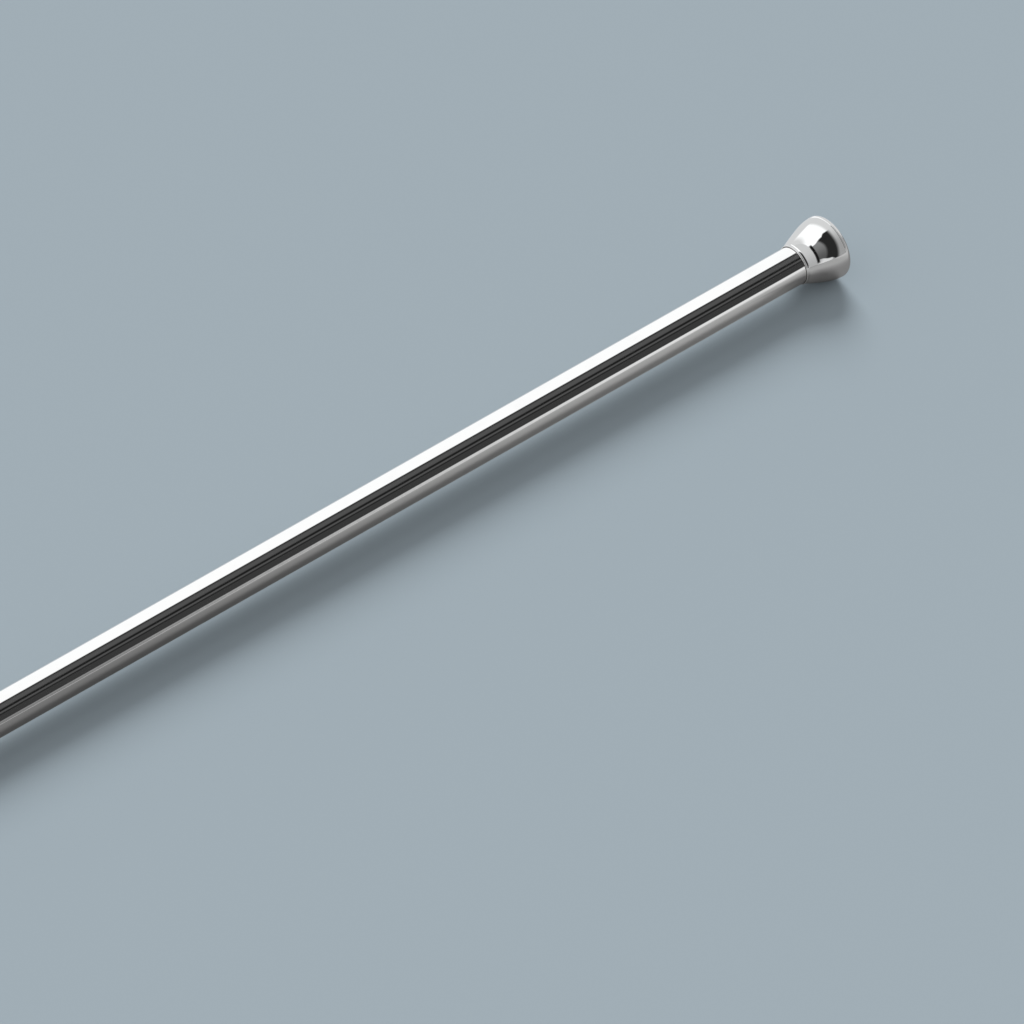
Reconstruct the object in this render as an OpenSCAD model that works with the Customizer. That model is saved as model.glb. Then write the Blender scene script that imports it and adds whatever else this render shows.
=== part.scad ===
// Telescopic window security bar. Two chromed steel tubes slide in each other and span a window
// opening from side wall to side wall. Each tube plugs onto a steel socket that is screwed to the
// wall, and a bell-shaped cover cap slides along the tube to hide the socket and its screws. A free
// turning steel core inside the inner tube defeats a saw, and a twist lock at the inner tube's
// hidden end holds the length while the bar is fitted.
//
// Millimetres. +X runs along the bar, from the fixed wall to the far wall, and +Z is up. The origin
// is the centre of the wall face at the outer tube's end. The bar is drawn at its shortest fitted
// length. It closes a little further before it is fitted, to pass the end of the far socket.

/* [Span] */
// Shortest fitted length, from wall to wall
closed_length = 700; // [700:10:1000]
// How far the bar extends beyond its shortest fitted length
travel = 350; // [100:10:350]

/* [Tubes] */
// Outside diameter of the outer tube
outer_d = 22; // [22:0.5:23]
// Outside diameter of the inner tube
inner_d = 18; // [17:0.5:18]
// Wall thickness of both tubes
tube_wall = 1.25; // [1:0.25:1.25]
// Diameter of the saw-proof core
core_d = 12; // [8:1:12]

/* [Cover caps] */
// Widest diameter of a cap
cap_d = 36.6; // [36.2:0.2:40]
// Length of a cap along the bar
cap_length = 26.5; // [26:0.5:30]
// Rounding of the rim that meets the wall
rim_round = 3.1; // [2:0.1:3.3]

/* [Wall sockets] */
// Diameter of the flange
flange_d = 28; // [26:0.5:28]
// Thickness of the rubber pad behind the flange
pad_t = 1; // [0.5:0.5:1.5]
// Diameter of the hole for the wall screw
wall_hole_d = 6.5; // [5.5:0.5:6.5]

/* [Hidden] */
$fn = 96;

chrome = [0.86, 0.87, 0.88];
zinc = [0.72, 0.73, 0.74];
hardened = [0.42, 0.43, 0.45];
brass = [0.80, 0.66, 0.36];
nylon = [0.17, 0.17, 0.18];
rubber = [0.08, 0.08, 0.09];

// Tube radii
outer_r = outer_d / 2;
outer_bore = outer_r - tube_wall;
inner_r = inner_d / 2;
inner_bore = inner_r - tube_wall;

// Clearances on radius: between sliding pieces, between a spigot and its tube, under the snug rings
slide_gap = 0.05;
cap_gap = 0.1;
ring_gap = 0.03;

// Wall socket
flange_t = 3;
floor_t = 6;
seat_x = pad_t + flange_t;
spigot_length = 22;
spigot_end = seat_x + spigot_length;
spigot_wall_outer = 2.8;
spigot_wall_inner = 2;
countersink_r = 5.7;
pad_hole_r = 4.5;

// Socket screws, two headless M4 screws on one line across each socket
screw_x = 14;
screw_r = 1.98;
tapped_r = 2;
screw_hole_r = 2.15;
screw_length_outer = 4;
screw_length_inner = 3;
screw_below = 0.1;
hex_flats = 2;
hex_depth = 1.6;

// Cover cap, measured from the wall
cap_r = cap_d / 2;
cap_x = 0.2;
collar_wall = 0.7;
collar_fillet = 4;
lip_round = 0.5;
neck_steeper = 7.4;
shoulder_steeper = 2;
rim_slope = 1.2;
mouth_r = cap_r - rim_round - 0.4;
mouth_step = [mouth_r - 0.3, 5];
hollow_end = 15;
hollow_wall = 1.7;
neck_start = 16.5;
groove_start = 18.4;
groove_width = 1.8;
ring_section = 1.5;

// Open end of the outer tube, with its bush and the sleeve that stops the travel. Beyond it the inner
// tube shows far enough to close by a spigot's length with the cap slid back from the socket's screws.
cap_slide_inner = 30;
mouth_x = closed_length - 85;
bush_length = 18;
bush_lip_t = 2.6;
bush_lip_r = outer_r + 0.7;
stop_length = 100;
stop_x = mouth_x - bush_length - stop_length;
stop_gap = 0.3;

// Hidden end of the inner tube
tail_bush_length = 20;
tail_bush_x = stop_x - stop_gap - travel - tail_bush_length;
tail_x = tail_bush_x - 2;
plug_shoulder = 3;
plug_length = 18;
washer_t = 1.3;
end_play = 0.05;

// Twist lock, measured back from the plug's shoulder
stud_r = 4;
stud_grip = 8;
lock_x = tail_x - plug_shoulder;
sleeve_end = lock_x - washer_t - 2 * end_play;
sleeve_length = 24;
sleeve_x = sleeve_end - sleeve_length;
sleeve_r = outer_bore - 0.15;
sleeve_floor = 4;
seat_wide_r = 8.2;
taper = 9.4;
slot_width = 1.6;
nut_length = 18;
nut_rim = 3;
nut_back = 8.7;
nut_x = sleeve_x - nut_back;
nut_gap = 1.4;
key_width = 1.3;
clip_t = 0.8;
clip_x = nut_x - stop_gap - clip_t;
clip_groove_r = 3.4;
stud_x = clip_x - 2;

// Core and its bearings
core_r = core_d / 2;
journal_r = 3;
journal_gap = 0.03;
bearing_pocket_r = 5;
bearing_depth = 8;
bearing_flange_t = 2;
front_bearing_t = 10;
front_bearing_x = closed_length - spigot_end - 6 - front_bearing_t;
core_start = tail_x + plug_length + bearing_flange_t + 0.3;
core_end = front_bearing_x - 0.3;

assert(stud_x - spigot_length > spigot_end, "closed_length is too short for this travel");
assert(
    closed_length - cap_x - cap_length - spigot_length - cap_slide_inner > mouth_x + bush_lip_t,
    "the inner cap has no room to slide"
);

// Points along an arc, from angle a0 to a1, in degrees
function arc(centre, r, a0, a1, steps) =
    [for (i = [0 : steps]) let (a = a0 + (a1 - a0) * i / steps) centre + r * [cos(a), sin(a)]];

function without_first(points) = [for (i = [1 : len(points) - 1]) points[i]];

// A plain rod along X
module rod(r, x0, x1) {
    translate([x0, 0, 0]) rotate([0, 90, 0]) cylinder(r = r, h = x1 - x0);
}

// A cone along X
module cone(r0, r1, x0, x1) {
    translate([x0, 0, 0]) rotate([0, 90, 0]) cylinder(r1 = r0, r2 = r1, h = x1 - x0);
}

// A plain ring or tube along X
module ring(r_out, r_in, x0, x1) {
    difference() {
        rod(r_out, x0, x1);
        rod(r_in, x0 - 1, x1 + 1);
    }
}

// A turned piece about X, from an outline of [radius, x] points
module turned(outline) {
    rotate([0, 90, 0]) rotate_extrude() polygon(outline);
}

// Moves what is drawn at the fixed wall to the far wall
module at_far_wall() {
    translate([closed_length, 0, 0]) mirror([1, 0, 0]) children();
}

// Two round holes or pins on one line across the bar, at the socket screws
module screw_pair() {
    for (side = [0, 180]) rotate([side, 0, 0]) translate([screw_x, 0, 0]) children();
}

// A tube along X with its children cut out of it
module round_tube(r, bore, x0, x1) {
    difference() {
        ring(r, bore, x0, x1);
        children();
    }
}

// Steel socket: a flange against the wall, a spigot inside the tube, and a countersunk floor
module wall_socket(tube_bore, spigot_wall) {
    spigot_r = tube_bore - slide_gap;
    cup_r = spigot_r - spigot_wall;
    hole_r = wall_hole_d / 2;
    floor_x = pad_t + floor_t;
    difference() {
        union() {
            rod(flange_d / 2, pad_t, seat_x);
            rod(spigot_r, seat_x, spigot_end);
        }
        rod(cup_r, floor_x, spigot_end + 1);
        rod(hole_r, pad_t - 1, spigot_end);
        cone(hole_r, countersink_r, floor_x - (countersink_r - hole_r), floor_x);
        screw_pair() translate([0, 0, cup_r / 2]) cylinder(r = tapped_r, h = spigot_r);
    }
}

// Rubber pad between the flange and the wall
module wall_pad() {
    ring(flange_d / 2 - 0.5, pad_hole_r, 0, pad_t);
}

// Headless screws with a hexagon socket, just under the tube's surface
module socket_screws(tube_r, length) {
    top = tube_r - screw_below;
    tip = 0.5;
    screw_pair() difference() {
        union() {
            translate([0, 0, top - length + tip]) cylinder(r = screw_r, h = length - tip);
            translate([0, 0, top - length]) cylinder(r1 = screw_r - tip, r2 = screw_r, h = tip);
        }
        translate([0, 0, top - hex_depth]) cylinder(d = hex_flats / cos(30), h = hex_depth + 1, $fn = 6);
    }
}

// Outline of a bell-shaped cap. Outside, from the wall: rounded rim, shoulder, flare, fillet and lip,
// each running smoothly into the next. The flare leaves the fillet steeper than the bell's mean slope
// and meets the shoulder near it. Inside: a neck that runs on the tube, with a groove for the snug
// ring, and a hollow for the socket.
function cap_outline(tube_r) =
    let (
        bore = tube_r + cap_gap,
        collar_r = tube_r + collar_wall,
        rise = cap_r - collar_r,
        run = cap_length - lip_round - rim_round,
        neck_slope = atan(rise / run) + neck_steeper,
        shoulder_slope = atan(rise / run) + shoulder_steeper,
        flare_tan = tan((neck_slope + shoulder_slope) / 2),
        shoulder_tan = tan((shoulder_slope + rim_slope) / 2),
        bell_run = run - collar_fillet * sin(neck_slope) - rim_round * sin(rim_slope),
        bell_rise = rise - collar_fillet * (1 - cos(neck_slope)) - rim_round * (1 - cos(rim_slope)),
        shoulder_run = (bell_run * flare_tan - bell_rise) / (flare_tan - shoulder_tan),
        shoulder_r = shoulder_run / (sin(shoulder_slope) - sin(rim_slope)),
        flare_r = (bell_run - shoulder_run) / (sin(neck_slope) - sin(shoulder_slope)),
        rim_centre = [cap_r - rim_round, rim_round],
        shoulder_centre = rim_centre + (rim_round - shoulder_r) * [cos(rim_slope), sin(rim_slope)],
        flare_centre = shoulder_centre + (shoulder_r - flare_r) * [cos(shoulder_slope), sin(shoulder_slope)],
        fillet_centre = flare_centre + (flare_r + collar_fillet) * [cos(neck_slope), sin(neck_slope)],
        groove_r = tube_r + ring_gap + ring_section + 0.02,
        groove_end = groove_start + groove_width
    )
    concat(
        arc(rim_centre, rim_round, -90, rim_slope, 12),
        without_first(arc(shoulder_centre, shoulder_r, rim_slope, shoulder_slope, 10)),
        without_first(arc(flare_centre, flare_r, shoulder_slope, neck_slope, 6)),
        without_first(arc(fillet_centre, collar_fillet, 180 + neck_slope, 180, 6)),
        arc([collar_r - lip_round, cap_length - lip_round], lip_round, 0, 90, 6),
        [
            [bore, cap_length], [bore, groove_end], [groove_r, groove_end], [groove_r, groove_start],
            [bore, groove_start], [bore, neck_start], [collar_r + hollow_wall - 1, neck_start],
            [collar_r + hollow_wall, hollow_end], mouth_step, [mouth_r, 0]
        ]
    );

module cover_cap(tube_r) {
    translate([cap_x, 0, 0]) turned(cap_outline(tube_r));
}

// Rubber ring in the cap's neck, whose grip holds the cap where it is pushed
module cap_ring(tube_r) {
    middle = cap_x + groove_start + groove_width / 2;
    translate([middle, 0, 0]) rotate([0, 90, 0]) rotate_extrude()
        translate([tube_r + ring_gap + ring_section / 2, 0]) circle(d = ring_section, $fn = 48);
}

// Radius of the expander sleeve's conical seat at x
function seat_radius(x) = seat_wide_r - (x - sleeve_x) * tan(taper);

module outer_tube() {
    color(chrome) round_tube(outer_r, outer_bore, seat_x, mouth_x)
        screw_pair() cylinder(r = screw_hole_r, h = outer_r + 1);
}

module mouth_bush() {
    bore = inner_r + slide_gap;
    edge = 0.6;
    lip_end = mouth_x + bush_lip_t;
    color(nylon) turned(concat(
        [[bore, mouth_x - bush_length], [outer_bore, mouth_x - bush_length], [outer_bore, mouth_x]],
        [[bush_lip_r, mouth_x]],
        arc([bush_lip_r - edge, lip_end - edge], edge, 0, 90, 6),
        [[bore, lip_end]]
    ));
}

module stop_sleeve() {
    color(nylon) ring(outer_bore, inner_r + 0.15, stop_x, mouth_x - bush_length);
}

module wall_socket_outer() {
    color(zinc) wall_socket(outer_bore, spigot_wall_outer);
}

module wall_pad_outer() {
    color(rubber) wall_pad();
}

module socket_screws_outer() {
    color(hardened) socket_screws(outer_r, screw_length_outer);
}

module cover_cap_outer() {
    color(chrome) cover_cap(outer_r);
}

module cap_ring_outer() {
    color(rubber) cap_ring(outer_r);
}

module inner_tube() {
    color(chrome) round_tube(inner_r, inner_bore, tail_x, closed_length - seat_x)
        at_far_wall() screw_pair() cylinder(r = screw_hole_r, h = inner_r + 1);
}

module tail_bush() {
    color(nylon) ring(outer_bore - slide_gap, inner_r, tail_bush_x, tail_bush_x + tail_bush_length);
}

// Steel plug pressed into the inner tube: it grips the stud and seats the core's rear bearing
module tail_plug() {
    color(zinc) difference() {
        union() {
            rod(inner_r, lock_x, tail_x);
            rod(inner_bore, tail_x, tail_x + plug_length);
        }
        rod(stud_r, lock_x - 1, tail_x + stud_grip);
        rod(bearing_pocket_r, tail_x + plug_length - bearing_depth, tail_x + plug_length + 1);
    }
}

// Threaded stud, with the thread drawn as rings and a groove for the clip
module lock_stud() {
    pitch = 1.25;
    crest = 0.5;
    turns = floor((sleeve_x + 12 - clip_x) / pitch);
    color(zinc) difference() {
        rod(stud_r, stud_x, tail_x + stud_grip);
        ring(stud_r + 1, clip_groove_r, clip_x, clip_x + clip_t);
        for (i = [1 : turns])
            translate([clip_x + clip_t + i * pitch, 0, 0]) ring(stud_r + 1, stud_r - 0.4, 0, crest);
    }
}

// Spring clip on the end of the stud: a ring with a gap
module stud_clip() {
    gap = 4;
    color(hardened) difference() {
        ring(6.4, clip_groove_r, clip_x, clip_x + clip_t);
        translate([clip_x - 1, -gap / 2, 0]) cube([clip_t + 2, gap, 10]);
    }
}

module thrust_washer() {
    color(zinc) ring(inner_r + 0.2, stud_r + 0.1, sleeve_end + end_play, sleeve_end + end_play + washer_t);
}

// Nylon sleeve in four fingers, which the cone nut spreads against the outer tube
module expander_sleeve() {
    finger_length = sleeve_length - sleeve_floor - 3;
    color(nylon) difference() {
        rod(sleeve_r, sleeve_x, sleeve_end);
        rod(stud_r + 0.3, sleeve_x - 1, sleeve_end + 1);
        cone(seat_radius(sleeve_x - 1), seat_radius(sleeve_end - sleeve_floor),
             sleeve_x - 1, sleeve_end - sleeve_floor);
        for (turn = [0, 90]) rotate([turn, 0, 0])
            translate([sleeve_x - 1, -slot_width / 2, -sleeve_r - 1])
                cube([finger_length + 1, slot_width, 2 * sleeve_r + 2]);
    }
}

// Conical nut on the stud, with four keys that sit in the sleeve's slots and keep it from turning
module cone_nut() {
    cone_x = nut_x + nut_rim;
    nut_end = nut_x + nut_length;
    wide_r = seat_radius(cone_x + nut_gap);
    color(brass) difference() {
        union() {
            rod(wide_r, nut_x, cone_x);
            cone(wide_r, seat_radius(nut_end + nut_gap), cone_x, nut_end);
            intersection() {
                rod(outer_bore - 0.4, cone_x, nut_end);
                for (turn = [0, 90]) rotate([turn, 0, 0])
                    translate([cone_x, -key_width / 2, -outer_r])
                        cube([nut_length - nut_rim, key_width, 2 * outer_r]);
            }
        }
        rod(stud_r + 0.05, nut_x - 1, nut_end + 1);
    }
}

// Hardened bar that turns on a journal at each end
module core_rod() {
    chamfer = 1;
    tail_end = tail_x + plug_length - bearing_depth + 0.5;
    front_end = front_bearing_x + front_bearing_t - 0.5;
    color(hardened) turned([
        [0, tail_end], [journal_r, tail_end], [journal_r, core_start], [core_r - chamfer, core_start],
        [core_r, core_start + chamfer], [core_r, core_end - chamfer], [core_r - chamfer, core_end],
        [journal_r, core_end], [journal_r, front_end], [0, front_end]
    ]);
}

module core_bearing_tail() {
    shoulder = tail_x + plug_length;
    color(nylon) difference() {
        union() {
            rod(bearing_pocket_r, shoulder - bearing_depth, shoulder);
            rod(inner_bore - 0.2, shoulder, shoulder + bearing_flange_t);
        }
        rod(journal_r + journal_gap, shoulder - bearing_depth - 1, shoulder + bearing_flange_t + 1);
    }
}

module core_bearing_front() {
    color(nylon) ring(inner_bore, journal_r + journal_gap, front_bearing_x, front_bearing_x + front_bearing_t);
}

module wall_socket_inner() {
    color(zinc) at_far_wall() wall_socket(inner_bore, spigot_wall_inner);
}

module wall_pad_inner() {
    color(rubber) at_far_wall() wall_pad();
}

module socket_screws_inner() {
    color(hardened) at_far_wall() socket_screws(inner_r, screw_length_inner);
}

module cover_cap_inner() {
    color(chrome) at_far_wall() cover_cap(inner_r);
}

module cap_ring_inner() {
    color(rubber) at_far_wall() cap_ring(inner_r);
}

outer_tube();
mouth_bush();
stop_sleeve();
wall_socket_outer();
wall_pad_outer();
socket_screws_outer();
cover_cap_outer();
cap_ring_outer();
inner_tube();
tail_bush();
tail_plug();
lock_stud();
stud_clip();
thrust_washer();
expander_sleeve();
cone_nut();
core_rod();
core_bearing_tail();
core_bearing_front();
wall_socket_inner();
wall_pad_inner();
socket_screws_inner();
cover_cap_inner();
cap_ring_inner();
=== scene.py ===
"""The looks of a telescopic window security bar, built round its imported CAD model.

Metres, in the CAD frame: X runs along the bar from the near wall to the far wall, and Z is up.
A turned piece is an outline of (x, r) points, with x along the bar and r from its axis. Its
outline is closed, and is drawn for the near wall even where the piece sits at the far one.
"""
import math

import bmesh
import bpy
from mathutils import Matrix, Vector


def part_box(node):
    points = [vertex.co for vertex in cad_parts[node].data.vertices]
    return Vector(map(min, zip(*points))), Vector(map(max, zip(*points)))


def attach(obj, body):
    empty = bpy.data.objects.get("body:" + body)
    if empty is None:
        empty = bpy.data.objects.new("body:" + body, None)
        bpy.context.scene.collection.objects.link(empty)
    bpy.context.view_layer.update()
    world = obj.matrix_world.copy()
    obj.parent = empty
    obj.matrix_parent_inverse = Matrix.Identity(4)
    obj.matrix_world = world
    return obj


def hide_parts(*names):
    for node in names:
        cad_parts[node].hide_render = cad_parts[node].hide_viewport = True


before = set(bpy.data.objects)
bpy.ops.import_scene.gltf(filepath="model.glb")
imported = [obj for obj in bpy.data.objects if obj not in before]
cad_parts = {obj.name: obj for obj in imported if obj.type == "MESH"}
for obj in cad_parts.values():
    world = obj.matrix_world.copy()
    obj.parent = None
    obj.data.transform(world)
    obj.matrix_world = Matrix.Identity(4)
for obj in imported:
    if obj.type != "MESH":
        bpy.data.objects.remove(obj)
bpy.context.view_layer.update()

MM = 0.001
SCENE = bpy.context.scene
# Radii that differ by less than this are the same
TINY = 1e-7
# An edge that folds by more than this is drawn sharp
SHARP_ANGLE = math.radians(35)


# ---------------------------------------------------------------- sizes, from the CAD model

def span(node):
    """Where a node starts and ends along the bar."""
    low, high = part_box(node)
    return low.x, high.x


def near_span(node):
    """The same, measured from the far wall for a node that sits there."""
    low, high = span(node)
    return (WALL_FAR - high, WALL_FAR - low) if low + high > WALL_FAR else (low, high)


def radius(node):
    """A round node's largest radius."""
    low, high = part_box(node)
    return (high.y - low.y) / 2


WALL_FAR = span("wall_pad_inner")[1]
OUTER_R, INNER_R = radius("outer_tube"), radius("inner_tube")
OUTER_BORE, INNER_BORE = radius("stop_sleeve"), radius("core_bearing_front")
CAP_R = radius("cover_cap_outer")
SEAT_X = span("outer_tube")[0]
SCREW_X = sum(span("socket_screws_outer")) / 2
FLOOR_Z = -CAP_R


# ---------------------------------------------------------------- mesh helpers

def arc(centre, r, a0, a1, steps):
    """Points along an arc, from angle a0 to a1, in degrees."""
    points = []
    for i in range(steps + 1):
        a = math.radians(a0 + (a1 - a0) * i / steps)
        points.append((centre[0] + r * math.cos(a), centre[1] + r * math.sin(a)))
    return points


def resampled(points, step):
    """The same open line with points at an even distance of about step."""
    lengths = [0.0]
    for p, q in zip(points, points[1:]):
        lengths.append(lengths[-1] + math.dist(p, q))
    count = max(1, round(lengths[-1] / step))
    result, k = [], 0
    for i in range(count + 1):
        at = lengths[-1] * i / count
        while k < len(points) - 2 and lengths[k + 1] < at:
            k += 1
        part = (at - lengths[k]) / max(lengths[k + 1] - lengths[k], 1e-12)
        p, q = points[k], points[k + 1]
        result.append((p[0] + (q[0] - p[0]) * part, p[1] + (q[1] - p[1]) * part))
    return result


def turned(outline, segments=192, shape=None):
    """A bmesh turned about the bar's axis. shape(x, r, angle) gives each point's own radius."""
    bm = bmesh.new()
    rings = []
    for x, r in outline:
        if r < TINY:
            rings.append([bm.verts.new((x, 0, 0))] * segments)
            continue
        ring = []
        for j in range(segments):
            a = 2 * math.pi * j / segments
            own = shape(x, r, a) if shape else r
            ring.append(bm.verts.new((x, own * math.cos(a), own * math.sin(a))))
        rings.append(ring)
    for ring, following in zip(rings, rings[1:] + rings[:1]):
        for j in range(segments):
            k = (j + 1) % segments
            corners = []
            for vert in (ring[j], ring[k], following[k], following[j]):
                if vert not in corners:
                    corners.append(vert)
            if len(corners) > 2:
                bm.faces.new(corners)
    bmesh.ops.recalc_face_normals(bm, faces=bm.faces)
    return bm


def cut(bm, tools, operation="DIFFERENCE"):
    """bm with each of the tools' bmeshes cut out of it, or joined to it."""
    def as_object(source):
        mesh = bpy.data.meshes.new("cut")
        source.to_mesh(mesh)
        source.free()
        obj = bpy.data.objects.new("cut", mesh)
        SCENE.collection.objects.link(obj)
        return obj

    body = as_object(bm)
    helpers = [as_object(tool) for tool in tools]
    for helper in helpers:
        modifier = body.modifiers.new("cut", "BOOLEAN")
        modifier.operation, modifier.solver, modifier.object = operation, "EXACT", helper
    result = bmesh.new()
    evaluated = body.evaluated_get(bpy.context.evaluated_depsgraph_get())
    result.from_mesh(evaluated.to_mesh())
    evaluated.to_mesh_clear()
    for obj in [body] + helpers:
        mesh = obj.data
        bpy.data.objects.remove(obj)
        bpy.data.meshes.remove(mesh)
    return result


def radial(outline, x, side, segments=64, shape=None):
    """A turned bmesh stood up across the bar at x, pointing up for side 1 and down for side -1."""
    bm = turned(outline, segments, shape)
    bm.transform(Matrix.Translation((x, 0, 0)) @ Matrix.Rotation(math.radians(-90 * side), 4, "Y"))
    return bm


def block(low, high):
    """A box-shaped cutting tool."""
    bm = bmesh.new()
    size = Vector(high) - Vector(low)
    place = Matrix.Translation((Vector(low) + Vector(high)) / 2) @ Matrix.Diagonal((*size, 1))
    bmesh.ops.create_cube(bm, size=1, matrix=place)
    return bm


def finished(name, bm, body, look, node):
    """Turns a bmesh into a shaded piece that rides on a body and stands for a CAD node."""
    bmesh.ops.recalc_face_normals(bm, faces=bm.faces)
    for face in bm.faces:
        face.smooth = True
    for edge in bm.edges:
        if len(edge.link_faces) == 2:
            edge.smooth = edge.calc_face_angle(0) < SHARP_ANGLE
    mesh = bpy.data.meshes.new(name)
    bm.to_mesh(mesh)
    bm.free()
    piece = bpy.data.objects.new(name, mesh)
    SCENE.collection.objects.link(piece)
    mesh.materials.append(look)
    weighted = piece.modifiers.new("even_normals", "WEIGHTED_NORMAL")
    weighted.keep_sharp = True
    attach(piece, body)
    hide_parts(node)
    return piece


def mirrored(bm):
    """What is drawn at the near wall, moved to the far wall."""
    bm.transform(Matrix.Translation((WALL_FAR, 0, 0)) @ Matrix.Diagonal((-1, 1, 1, 1)))
    bmesh.ops.reverse_faces(bm, faces=bm.faces)
    return bm


# ---------------------------------------------------------------- materials

class Nodes:
    """Shorthand for building a node tree."""

    def __init__(self, tree):
        self.tree = tree
        tree.nodes.clear()

    def add(self, kind, inputs=None, **settings):
        node = self.tree.nodes.new(kind)
        for key, value in settings.items():
            setattr(node, key, value)
        for key, value in (inputs or {}).items():
            self.put(node.inputs[key], value)
        return node

    def put(self, socket, value):
        if isinstance(value, bpy.types.NodeSocket):
            self.tree.links.new(value, socket)
        else:
            socket.default_value = value

    def math(self, operation, *values):
        node = self.add("ShaderNodeMath", operation=operation)
        for socket, value in zip(node.inputs, values):
            self.put(socket, value)
        return node.outputs[0]

    def ramp(self, value, low, high, to_low=0.0, to_high=1.0):
        """Smooth step of value, from to_low at low to to_high at high."""
        node = self.add("ShaderNodeMapRange", interpolation_type="SMOOTHSTEP")
        for key, number in (("Value", value), ("From Min", low), ("From Max", high),
                            ("To Min", to_low), ("To Max", to_high)):
            self.put(node.inputs[key], number)
        return node.outputs[0]

    def mix(self, part, first, second):
        """Colour between first, at part 0, and second, at part 1."""
        node = self.add("ShaderNodeMix", data_type="RGBA")
        self.put(node.inputs["Factor"], part)
        for socket, value in ((node.inputs[6], first), (node.inputs[7], second)):
            self.put(socket, (*value, 1) if isinstance(value, tuple) else value)
        return node.outputs[2]

    def noise(self, place, scale, detail=3.0, roughness=0.5):
        node = self.add("ShaderNodeTexNoise", {"Vector": place, "Scale": scale, "Detail": detail,
                                               "Roughness": roughness})
        return node.outputs["Fac"]

    def bump(self, height, distance, strength=1.0):
        return self.add("ShaderNodeBump", {"Height": height, "Strength": strength,
                                           "Distance": distance}).outputs[0]


def material(name, build):
    """A material whose Principled shader gets the inputs that build(nodes, place, polar) returns.
    place is the object's own space, and polar is (x, r, 0), which is even all the way round."""
    result = bpy.data.materials.new(name)
    result.use_nodes = True
    n = Nodes(result.node_tree)
    place = n.add("ShaderNodeTexCoord").outputs["Object"]
    parts = n.add("ShaderNodeSeparateXYZ", {0: place}).outputs
    across = n.add("ShaderNodeCombineXYZ", {"Y": parts["Y"], "Z": parts["Z"]}).outputs[0]
    r = n.add("ShaderNodeVectorMath", {0: across}, operation="LENGTH").outputs["Value"]
    polar = n.add("ShaderNodeCombineXYZ", {"X": parts["X"], "Y": r}).outputs[0]
    shader = n.add("ShaderNodeBsdfPrincipled", build(n, place, polar))
    n.add("ShaderNodeOutputMaterial", {"Surface": shader.outputs[0]})
    return result


# Where along the bar a cap's bore changes from one end's radius to the other's, how far outside the
# bore the painted shade in its mouth fades out, and how dark that painted shade is
BETWEEN_CAPS = 0.1, 0.5
MOUTH_EDGE = 0.25 * MM, 0.33 * MM
MOUTH_PAINTED_SHADE = (0.10, 0.10, 0.10)


def chrome(tint, mouths=None):
    """Polished chrome plate: polishing haze, faint wiping marks and the lightest waviness. Shade is
    painted inside the mouths of bores, in the gap round the tube; their radii are given for the -X end
    and the +X end of the bar."""
    def build(n, place, polar):
        dull = tuple(0.965 * c for c in tint)
        drawn_out = (40.0, 900.0, 900.0)
        haze = n.noise(place, 60.0, 6.0, 0.6)
        wiped = n.add("ShaderNodeVectorMath", {0: place, 1: drawn_out}, operation="MULTIPLY")
        marks = n.ramp(n.noise(wiped.outputs[0], 1.0, 2.0), 0.62, 0.75, 0.0, 0.012)
        roughness = n.math("ADD", n.ramp(haze, 0.35, 0.75, 0.02, 0.042), marks)
        colour = n.mix(n.ramp(haze, 0.45, 0.8), tint, dull)
        if mouths:
            parts = n.add("ShaderNodeSeparateXYZ", {0: polar}).outputs
            # painted shade: the colour goes dark in the bore's mouth, where the tube enters the cap
            mouth = n.ramp(parts["X"], *BETWEEN_CAPS, *mouths)
            outside = n.ramp(n.math("SUBTRACT", parts["Y"], mouth), *MOUTH_EDGE)
            colour = n.mix(outside, MOUTH_PAINTED_SHADE, colour)
        return {"Base Color": colour, "Metallic": 1.0, "Roughness": roughness,
                "Normal": n.bump(n.noise(place, 140.0, 2.0), 0.0002, 0.02)}
    return build


def zinc(n, place, polar):
    """Zinc-plated turned steel: tool marks round the axis under a cloudy passivated plate."""
    bluish, straw, stain = (0.62, 0.65, 0.70), (0.74, 0.73, 0.69), (0.66, 0.60, 0.52)
    marks = n.noise(polar, 9000.0, 2.0)
    cloud = n.noise(place, 220.0, 4.0, 0.6)
    colour = n.mix(n.ramp(cloud, 0.35, 0.7), bluish, straw)
    stained = n.ramp(n.noise(place, 90.0, 3.0), 0.6, 0.72, 0.0, 0.35)
    colour = n.mix(stained, colour, stain)
    matt = n.ramp(cloud, 0.3, 0.75, 0.24, 0.40)
    roughness = n.math("ADD", matt, n.ramp(marks, 0.3, 0.7, -0.04, 0.05))
    return {"Base Color": colour, "Metallic": 1.0, "Roughness": roughness,
            "Normal": n.bump(marks, 0.00002, 0.35)}


def blackened(n, place, polar):
    """Hardened steel with a black oxide skin that has worn thin in places."""
    black, grey, steel = (0.045, 0.046, 0.050), (0.085, 0.083, 0.080), (0.30, 0.29, 0.28)
    cloud = n.noise(place, 350.0, 5.0, 0.65)
    worn = n.ramp(n.noise(place, 900.0, 3.0), 0.60, 0.70, 0.0, 0.7)
    colour = n.mix(n.ramp(cloud, 0.35, 0.7), black, grey)
    colour = n.mix(worn, colour, steel)
    return {"Base Color": colour, "Metallic": 0.9, "Roughness": n.ramp(cloud, 0.3, 0.7, 0.32, 0.48),
            "Normal": n.bump(n.noise(polar, 7000.0, 2.0), 0.00002, 0.4)}


def brass(n, place, polar):
    """Machined brass with a little tarnish."""
    bright, brown = (0.83, 0.63, 0.30), (0.62, 0.43, 0.19)
    tarnish = n.noise(place, 260.0, 4.0, 0.6)
    return {"Base Color": n.mix(n.ramp(tarnish, 0.4, 0.7), bright, brown), "Metallic": 1.0,
            "Roughness": n.ramp(tarnish, 0.3, 0.7, 0.2, 0.4),
            "Normal": n.bump(n.noise(polar, 8000.0, 2.0), 0.00002, 0.4)}


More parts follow.
